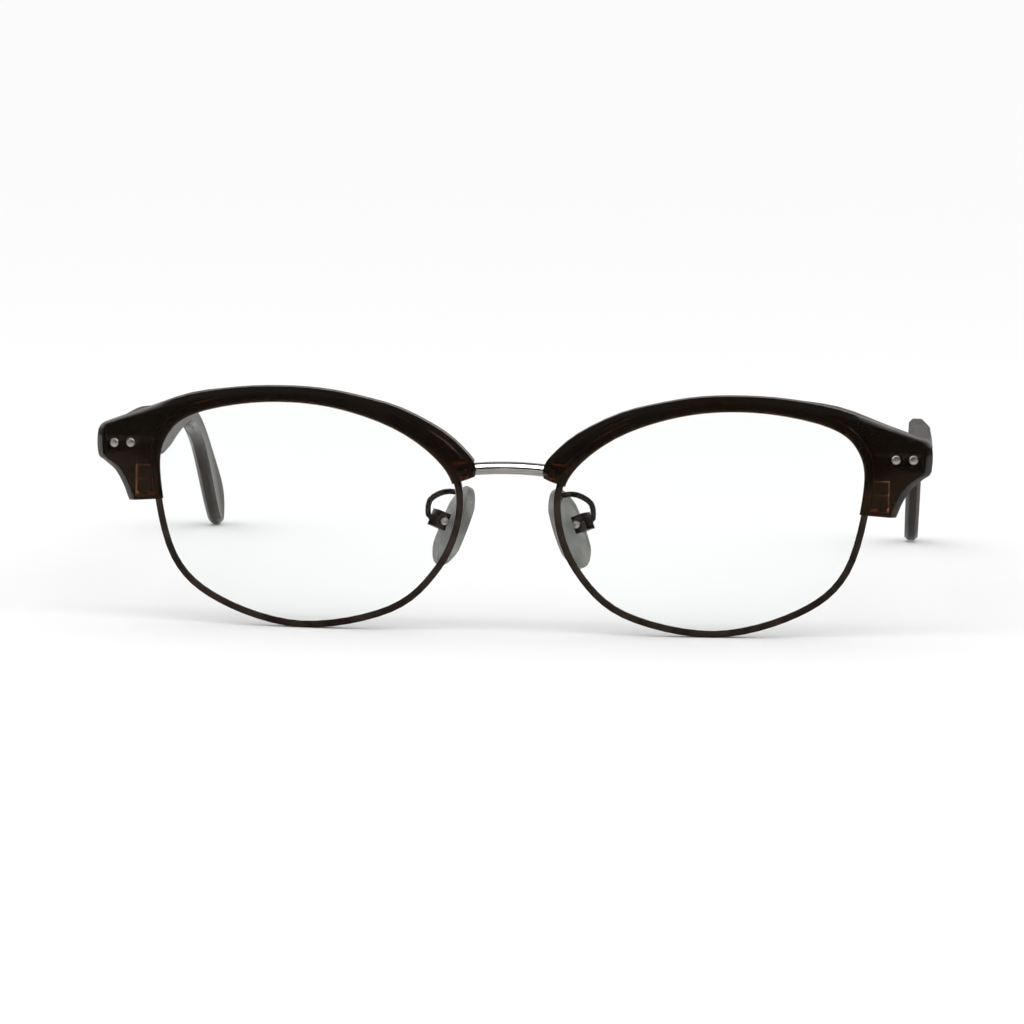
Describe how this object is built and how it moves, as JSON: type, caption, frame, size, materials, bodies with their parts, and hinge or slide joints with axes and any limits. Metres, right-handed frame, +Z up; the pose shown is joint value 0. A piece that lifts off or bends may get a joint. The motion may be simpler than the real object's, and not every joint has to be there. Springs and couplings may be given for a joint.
{
  "type": "browline glasses",
  "caption": "Browline glasses: acetate brow pieces over thin metal rims, a bar bridge, rocking nose pads and folding cored temples.",
  "frame": {"origin": "middle of the open glasses' box in plan, on the surface that the rims and the temple tips stand on", "axes": "+X to the right seen from the front, +Y from the front towards the temple tips, +Z up"},
  "size_m": [0.145, 0.1556, 0.0416],
  "materials": {
    "acetate": "polished dark tortoise brown",
    "lens": "clear, uncoated",
    "rim_metal": "dark gunmetal plating",
    "bridge_metal": "polished silver plating",
    "screw_steel": "satin",
    "core_metal": "patterned with fine hatching",
    "nose_pad": "clear grey, translucent"
  },
  "bodies": {
    "front": {"bridge": "bridge_metal", "left_brow": "acetate", "right_brow": "acetate", "left_rim": "rim_metal", "right_rim": "rim_metal", "left_lens": "lens", "right_lens": "lens", "left_closing_block": "rim_metal", "right_closing_block": "rim_metal", "left_closing_screw": "screw_steel", "right_closing_screw": "screw_steel", "left_brow_screw": "screw_steel", "right_brow_screw": "screw_steel", "left_rivets": "screw_steel", "right_rivets": "screw_steel", "left_front_hinge_leaf": "rim_metal", "right_front_hinge_leaf": "rim_metal", "left_hinge_screw": "screw_steel", "right_hinge_screw": "screw_steel", "left_pad_arm": "rim_metal", "right_pad_arm": "rim_metal", "left_pad_box": "rim_metal", "right_pad_box": "rim_metal", "left_pad_screw": "screw_steel", "right_pad_screw": "screw_steel"},
    "left_temple": {"left_temple": "acetate", "left_temple_core": "core_metal", "left_temple_hinge_leaf": "rim_metal"},
    "left_pad": {"left_nose_pad": "nose_pad"},
    "right_temple": {"right_temple": "acetate", "right_temple_core": "core_metal", "right_temple_hinge_leaf": "rim_metal"},
    "right_pad": {"right_nose_pad": "nose_pad"}
  },
  "joints": [
    {"name": "left_temple_fold", "type": "hinge", "parent": "front", "child": "left_temple", "pos_m": [-0.0665, -0.06343, 0.0306], "axis": [0.0523, -0.0409, -0.9978], "range_deg": [0, 88]},
    {"name": "right_temple_fold", "type": "hinge", "parent": "front", "child": "right_temple", "pos_m": [0.0665, -0.06343, 0.0306], "axis": [0.0087, 0.041, 0.9991], "range_deg": [0, 91.5]},
    {"name": "left_pad_rock", "type": "hinge", "parent": "front", "child": "left_pad", "pos_m": [-0.01223, -0.06872, 0.01849], "axis": [-0.5, 0.866, 0], "range_deg": [-8, 8]},
    {"name": "right_pad_rock", "type": "hinge", "parent": "front", "child": "right_pad", "pos_m": [0.01223, -0.06872, 0.01849], "axis": [0.5, 0.866, 0], "range_deg": [-8, 8]}
  ]
}
